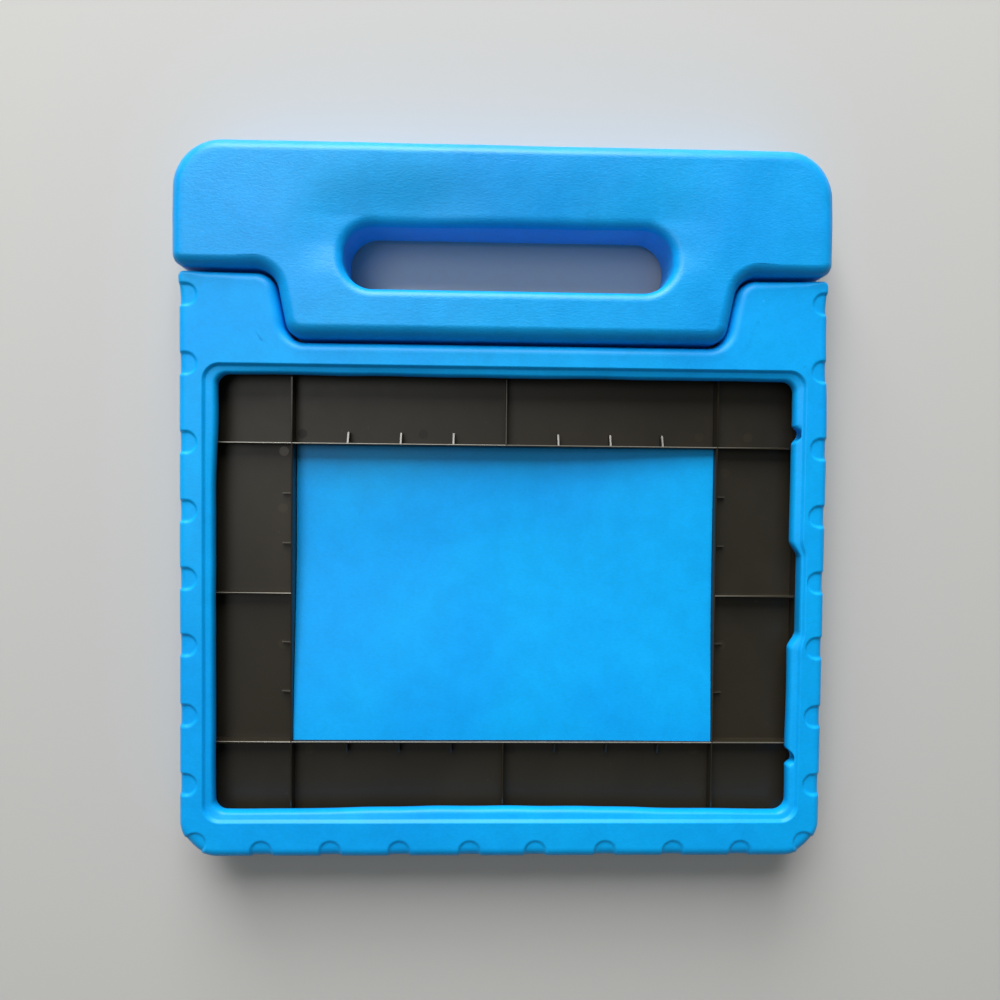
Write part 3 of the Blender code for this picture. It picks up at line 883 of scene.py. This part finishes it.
@dataclass
class FoamHandle:
    """The moulded foam handle: grip bar, finger slot and the tab that swings in the notch."""

    half_width: float = 129.75
    top: float = 142.25
    bar_bottom: float = 92.62
    tab_end: float = 65.55
    top_corner: float = 19.0
    lower_corner: float = 4.9
    tab_corners: Pair = (9.5, 7.5)
    tab_half: Pair = (91.8, 86.3)
    thickness: float = 29.0
    edge: float = 5.0
    corner_edge: float = 3.9
    slot: RoundedBox = RoundedBox(65.0, 84.95, 110.0, 11.8)
    slot_edge: float = 4.0
    slot_back: float = 7.0
    dent: float = 1.7
    crown: float = 2.2
    crown_span: Triple = (139.0, 113.0, 88.0)
    pivot: Pair = (77.7, 10.0)
    lean: float = 1.2
    lean_across: Pair = (100.0, 126.0)
    lift: float = 18.0
    lift_across: Pair = (92.0, 125.0)
    lift_along: Pair = (135.0, 95.0)
    corner_near: Pair = (18.0, 42.0)
    dent_across: Pair = (-36.0, 26.0)
    dent_above: Pair = (134.0, 114.0)
    dent_below: Pair = (96.0, 108.0)
    crown_along: Pair = (88.0, 104.0)
    band_rings: int = 26

    def outline(self) -> Outline:
        """The handle's outer outline."""
        right = [Corner(self.tab_half[1], self.tab_end, self.tab_corners[1]),
                 Corner(self.tab_half[0], self.bar_bottom, self.tab_corners[0]),
                 Corner(self.half_width, self.bar_bottom, self.lower_corner),
                 Corner(self.half_width, self.top, self.top_corner)]
        return Outline(right + [Corner(-c.x, c.y, c.radius) for c in reversed(right)])

    def spacing(self, point: Vector) -> float:
        """How far apart stations lie near a point of the outline."""
        if abs(point.x) > 124 and point.y < 98:
            return 0.5
        return 0.9 if point.y < self.bar_bottom + 2 and abs(point.x) > 70 else 1.5

    def rim(self, station: Station) -> float:
        """Radius of the edge's rounding, tighter at the grip bar's lower corners."""
        corner = Vector((self.half_width, self.bar_bottom))
        gap = (Vector((abs(station.point.x), station.point.y)) - corner).length
        return self.corner_edge + (self.edge - self.corner_edge) * smooth(*self.corner_near, gap)

    def raised(self, point: Vector) -> Vector:
        """The place whose nearest point on the slot a station is joined to: higher up at the wing ends."""
        lift = self.lift * smooth(*self.lift_across, abs(point.x)) * smooth(*self.lift_along, point.y)
        return point + Vector((0, lift))

    def settle(self, point: Vector) -> Vector:
        """Moves a point with the handle's slight lean to one side and its softly uneven front."""
        shift = -self.lean * smooth(*self.lean_across, abs(point.x))
        height = point.z / self.thickness
        swell = 0.40 * drift(point.x + 31, point.y, 38.0, 5.0) + 0.15 * drift(point.x, point.y, 17.0, 2.0)
        middle, reach = self.dent_across
        dent = self.dent * exp(-((point.x - middle) / reach) ** 2)
        dent = dent * smooth(*self.dent_above, point.y) * smooth(*self.dent_below, point.y)
        high, low, end = self.crown_span
        share = (high - max(point.y, low)) / (high - low) if point.y < high else 0.0
        spread = smooth(end, end - 30, abs(point.x + 3)) * smooth(*self.crown_along, point.y)
        dent += self.crown * share ** 1.5 * spread
        return Vector((point.x + shift, point.y, point.z + (swell - dent) * smooth(0.6, 1.0, height)))

    def wall(self, station: Station, height: float, inset: float) -> Vector:
        """A point of the outer wall, with the tab's back rounded for the swing."""
        flat = station.point - station.out * inset
        depth = max(self.pivot[1] - height, 0.0)
        reach = self.pivot[0] - self.tab_end
        if flat.y < self.pivot[0]:
            flat.y = self.pivot[0] - (self.pivot[0] - flat.y) * sqrt(reach ** 2 - depth ** 2) / reach
        return at_height(flat, height)

    def rings(self, places: list[Station]) -> Iterable[list[Vector]]:
        """The skin's rings, once round the handle's section and back to the first.

        Args:
            places: the stations of the outline.

        Yields:
            One ring of points after another.
        """
        top = self.thickness
        rims = [self.rim(s) for s in places]
        for height in (5.0, 7.0, 8.5, 10.0, top - self.edge):
            yield [self.wall(s, height, 0.0) for s in places]
        for inward, up in quarter(10, 0.3):
            yield [self.wall(s, top - rim * (1 - up), rim * inward) for s, rim in zip(places, rims)]
        shares = [self.slot.share(self.raised(s.point)) for s in places]
        inner = [self.slot.at(share, self.slot_edge) for share in shares]
        outer = [self.wall(s, top, rim).xy for s, rim in zip(places, rims)]
        for number in range(1, self.band_rings + 1):
            part = number / self.band_rings
            yield [at_height(start.lerp(end, part), top) for start, end in zip(outer, inner)]
        for inward, up in reversed(quarter(8)[:-1]):
            height = top - self.slot_edge + self.slot_edge * up
            yield [at_height(self.slot.at(share, self.slot_edge * inward), height) for share in shares]
        for inward, up in quarter(7):
            height = self.slot_back * (1 - up)
            yield [at_height(self.slot.at(share, self.slot_back * inward), height) for share in shares]
        under = [self.wall(s, 0.0, rim).xy for s, rim in zip(places, rims)]
        inner = [self.slot.at(share, self.slot_back) for share in shares]
        for number in range(1, 5):
            yield [at_height(start.lerp(end, number / 4), 0.0) for start, end in zip(inner, under)]
        for inward, up in reversed(quarter(6)):
            yield [self.wall(s, rim * (1 - up), rim * inward) for s, rim in zip(places, rims)]

    def build(self) -> bpy.types.Object:
        """Builds the handle.

        Returns:
            The finished piece.
        """
        places = self.outline().stations(self.spacing)
        rings = [[self.settle(point) for point in ring] for ring in self.rings(places)]
        skin = Skin(rings[0])
        for ring in rings[1:]:
            skin.grow(ring)
        return skin.finish("handle", 0.002)


# Former


@dataclass
class Former:
    """The ribbed plastic frame that fills the pocket in the tablet's place."""

    half_x: float = 120.6
    low: float = -128.75
    high: float = 56.95
    corner: float = 9.0
    window: Triple = (86.2, -96.9, 24.3)
    base: float = 10.1
    plate: float = 2.2
    top: float = 17.8
    rib: float = 0.75
    soften: float = 0.34
    gusset: Triple = (4.5, 0.7, 5.2)
    gusset_pitch: float = 21.4
    side_gusset: Triple = (4.3, 0.5, 2.2)
    side_pitch: float = 20.4
    gusset_drop: float = 0.4
    pins: Sequence[Triple] = (
        (-83.6, 28.9, -0.75), (-91.0, 21.6, 2.4), (-91.4, -1.8, 0.35), (-34.0, 29.3, -0.4),
        (80.6, 29.2, 0.3), (101.0, 29.3, 0.4), (91.6, 14.5, 0.3), (-91.2, -58.0, 0.35),
        (91.4, -57.6, 0.3), (-80.2, -102.2, 0.35), (3.6, -102.0, -0.3), (80.4, -102.3, 0.3))
    pin_radius: float = 1.95
    pin_height: float = 0.04

    def build(self) -> bpy.types.Object:
        """Builds the frame, its ribs and its gussets as one mesh."""
        mesh = bmesh.new()
        middle = (self.low + self.high) / 2
        bmesh.ops.create_grid(mesh, x_segments=1, y_segments=1, size=1.0)
        bmesh.ops.scale(mesh, verts=mesh.verts, vec=(self.half_x * MM, (self.high - self.low) / 2 * MM, 1))
        bmesh.ops.translate(mesh, verts=mesh.verts, vec=(0, middle * MM, (self.base + self.plate) * MM))
        bmesh.ops.bevel(mesh, geom=mesh.verts[:], offset=self.corner * MM, offset_type="OFFSET", segments=8,
                        profile=0.5, affect="VERTICES", material=-1)
        half, low, high = self.window
        centre = (low + high) / 2
        across = [self.half_x - self.rib, half + self.rib, half, self.rib / 2]
        across = across + [-value for value in across]
        along = [self.low + self.rib, self.high - self.rib, low, low - self.rib, high, high + self.rib,
                 centre - self.rib / 2, centre + self.rib / 2]
        cuts = [((value * MM, 0, 0), (1, 0, 0)) for value in across]
        cuts += [((0, value * MM, 0), (0, 1, 0)) for value in along]
        for point, normal in cuts:
            bmesh.ops.bisect_plane(mesh, geom=mesh.faces[:] + mesh.edges[:] + mesh.verts[:],
                                   plane_co=point, plane_no=normal)
        hole = [f for f in mesh.faces if self.inside_window(f)]
        bmesh.ops.delete(mesh, geom=hole, context="FACES")
        walls = [f for f in mesh.faces if self.is_rib(f)]
        risen = bmesh.ops.extrude_face_region(mesh, geom=walls)["geom"]
        bmesh.ops.delete(mesh, geom=walls, context="FACES_ONLY")
        bmesh.ops.translate(mesh, verts=[v for v in risen if isinstance(v, bmesh.types.BMVert)],
                            vec=(0, 0, (self.top - self.base - self.plate) * MM))
        under = bmesh.ops.extrude_edge_only(mesh, edges=[e for e in mesh.edges if e.is_boundary])["geom"]
        for vert in (v for v in under if isinstance(v, bmesh.types.BMVert)):
            vert.co.z = self.base * MM
        bmesh.ops.recalc_face_normals(mesh, faces=mesh.faces)
        bmesh.ops.dissolve_limit(mesh, angle_limit=radians(1), verts=mesh.verts, edges=mesh.edges)
        crest = (self.top - 0.01) * MM
        ridges = [e for e in mesh.edges if min(v.co.z for v in e.verts) > crest and self.is_inner(e)
                  and any(abs(f.normal.z) < 0.5 for f in e.link_faces)]
        bmesh.ops.bevel(mesh, geom=ridges, offset=self.soften * MM, segments=3, profile=0.5, affect="EDGES",
                        material=-1)
        self.add_gussets(mesh)
        # Painted highlights on the rib and gusset tops that face the lamps.
        self.paint_highlights(mesh)
        self.add_pin_marks(mesh)
        return piece("former", mesh, 30.0)

    def inside_window(self, face: bmesh.types.BMFace) -> bool:
        """Whether a face lies in the window."""
        x, y = (value / MM for value in face.calc_center_median().xy)
        return abs(x) < self.window[0] and self.window[1] < y < self.window[2]

    def is_inner(self, edge: bmesh.types.BMEdge) -> bool:
        """Whether an edge lies on the ribs inside the outer one."""
        x, y = ((edge.verts[0].co + edge.verts[1].co) / 2 / MM).xy
        inset = self.rib + 0.5
        return abs(x) < self.half_x - inset and self.low + inset < y < self.high - inset

    def is_rib(self, face: bmesh.types.BMFace) -> bool:
        """Whether a face is the foot of a rib."""
        x, y = (value / MM for value in face.calc_center_median().xy)
        half, low, high = self.window
        centre = (low + high) / 2
        lines = [abs(abs(x) - half - self.rib / 2), abs(x), abs(y - high - self.rib / 2),
                 abs(y - low + self.rib / 2), abs(y - centre), self.half_x - abs(x) - self.rib / 2,
                 self.high - y - self.rib / 2, y - self.low - self.rib / 2]
        return min(lines) < self.rib / 2

    def add_gussets(self, mesh: bmesh.types.BMesh) -> None:
        """Stands the small gussets on the ribs round the window."""
        half, low, high = self.window
        centre = (low + high) / 2
        places = []
        for count in (1, 2, 3):
            for side in (1, -1):
                places.append((side * count * self.gusset_pitch, high + self.rib, 90.0, self.gusset))
                places.append((side * count * self.gusset_pitch, low - self.rib, -90.0, self.gusset))
        for count in (1, 2):
            for side in (1, -1):
                level = centre + side * count * self.side_pitch
                places.append((half + self.rib, level, 0.0, self.side_gusset))
                places.append((-half - self.rib, level, 180.0, self.side_gusset))
        for x, y, turn, (length, width, height) in places:
            block = bmesh.ops.create_cube(mesh, size=1.0)["verts"]
            bmesh.ops.translate(mesh, verts=block, vec=(0.5, 0, 0.5))
            bmesh.ops.scale(mesh, verts=block, vec=(length * MM, width * MM, height * MM))
            for vert in block:
                if vert.co.x > 0 and vert.co.z > 0:
                    vert.co.z -= self.gusset_drop * height * MM
            bmesh.ops.rotate(mesh, verts=block, matrix=Matrix.Rotation(radians(turn), 3, "Z"))
            bmesh.ops.translate(mesh, verts=block, vec=(x * MM, y * MM, (self.base + self.plate) * MM))

    def paint_highlights(self, mesh: bmesh.types.BMesh) -> None:
        """Marks painted highlights on the rib tops: their side towards the handle and the lamps, most at the
        left.
        """
        painted_highlight = mesh.faces.layers.float.new(PAINTED_HIGHLIGHT)
        mesh.normal_update()
        for face in mesh.faces:
            x, _, z = face.calc_center_median() / MM
            ledge = face.normal.z > 0.15 and z > self.base + self.plate + 0.5
            share = 0.7 - 0.34 * x / self.half_x
            # Painted highlight: faces turned towards the lamps (+Y and up) get it, stronger at the left; side
            # gusset tops get a weaker one.
            if ledge and face.normal.y > 0.2:
                face[painted_highlight] = share
            elif ledge and 0.1 < abs(face.normal.x) < 0.3:
                face[painted_highlight] = 0.35 * share

    def add_pin_marks(self, mesh: bmesh.types.BMesh) -> None:
        """Adds the round marks that the mould's ejector pins left on the plate."""
        mark = mesh.faces.layers.float.new(MARK)
        radius = self.pin_radius * MM
        for x, y, tone in self.pins:
            disc = bmesh.ops.create_cone(mesh, cap_ends=True, segments=32, radius1=radius, radius2=radius,
                                         depth=2 * self.pin_height * MM)["verts"]
            bmesh.ops.translate(mesh, verts=disc, vec=(x * MM, y * MM, (self.base + self.plate) * MM))
            for face in {face for vert in disc for face in vert.link_faces}:
                face[mark] = tone


# Studio


@dataclass(frozen=True)
class Lamp:
    """A soft lamp; azimuth is turned from +Y towards -X, power is for one metre's distance."""

    name: str
    azimuth: float
    elevation: float
    distance: float
    width: float
    height: float
    power: float
    colour: Colour = (1.0, 1.0, 1.0)


LAMPS = (
    Lamp("rim", 8.0, 20.0, 2.2, 1.6, 0.7, 9.0),
    Lamp("key", 8.0, 41.0, 2.2, 1.8, 0.9, 8.2),
    Lamp("overhead", 62.0, 68.0, 2.0, 1.1, 1.1, 1.8),
)


@dataclass
class Studio:
    """Camera, lights and floor."""

    eye: Triple = (-10.10, 11.28, 323.41)
    tilt: Triple = (-1.650, -1.454, 0.603)
    lens: float = 27.04
    lamps: Sequence[Lamp] = LAMPS
    fill: float = 0.09
    fill_colour: Colour = (0.95, 1.0, 0.92)

    def camera(self) -> None:
        """Sets the camera where the case is seen from."""
        data = bpy.data.cameras.new("view")
        data.lens = self.lens
        data.sensor_width = 36.0
        data.sensor_fit = "HORIZONTAL"
        data.clip_start = 0.01
        data.clip_end = 20.0
        eye = bpy.data.objects.new("view", data)
        bpy.context.scene.collection.objects.link(eye)
        rx, ry, rz = (radians(value) for value in self.tilt)
        turn = Matrix.Rotation(rz, 4, "Z") @ Matrix.Rotation(ry, 4, "Y") @ Matrix.Rotation(rx, 4, "X")
        eye.matrix_world = Matrix.Translation(Vector(self.eye) * MM) @ turn
        bpy.context.scene.camera = eye

    def light(self, lamp: Lamp) -> None:
        """Adds one lamp, turned towards the case."""
        data = bpy.data.lights.new(lamp.name, "AREA")
        data.shape = "RECTANGLE"
        data.size = lamp.width
        data.size_y = lamp.height
        data.color = lamp.colour
        data.energy = lamp.power * lamp.distance ** 2
        made = bpy.data.objects.new(lamp.name, data)
        bpy.context.scene.collection.objects.link(made)
        turn, rise = radians(lamp.azimuth), radians(lamp.elevation)
        way = Vector((-sin(turn) * cos(rise), cos(turn) * cos(rise), sin(rise)))
        facing = way.to_track_quat("Z", "Y").to_matrix().to_4x4()
        made.matrix_world = Matrix.Translation(way * lamp.distance) @ facing

    def build(self) -> None:
        """Sets up the whole studio."""
        self.camera()
        for lamp in self.lamps:
            self.light(lamp)
        world = bpy.data.worlds.new("studio")
        world.use_nodes = True
        world.node_tree.nodes["Background"].inputs["Color"].default_value = (*self.fill_colour, 1.0)
        world.node_tree.nodes["Background"].inputs["Strength"].default_value = self.fill
        bpy.context.scene.world = world
        mesh = bmesh.new()
        bmesh.ops.create_grid(mesh, x_segments=1, y_segments=1, size=3.0)
        floor = piece("floor", mesh)
        floor.data.transform(Matrix.Translation((0, 0, -0.0002)))
        paint(floor, FloorFinish().make())
        bpy.context.scene.view_settings.view_transform = "Standard"


def dress(made: bpy.types.Object, material: bpy.types.Material, node: str, body: Body) -> None:
    """Dresses a piece and logs it.

    Args:
        made: the piece.
        material: its material.
        node: the solids' node that it stands for.
        body: the body that it rides on.
    """
    paint(made, material)
    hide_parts(node)
    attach(made, body.value)
    report(made)


def main() -> None:
    """Builds the studio and every piece, in order."""
    logging.basicConfig(level=logging.INFO, format="%(message)s")
    Studio().build()
    shell = FoamShell().build()
    dress(shell, SHELL_FOAM.make(), "foam_body", Body.CASE)
    handle = FoamHandle().build()
    dress(handle, HANDLE_FOAM.make(), "foam_handle", Body.HANDLE)
    former = Former().build()
    dress(former, FORMER_PLASTIC.make(), "pocket_former", Body.CASE)
    for kind, finish in (("hinge_pin_", PIN_PLASTIC), ("hinge_bush_", BUSH_PLASTIC)):
        material = finish.make()
        for side in ("left", "right"):
            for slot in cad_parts[kind + side].material_slots:
                slot.material = material


if __name__ == "__main__":
    main()
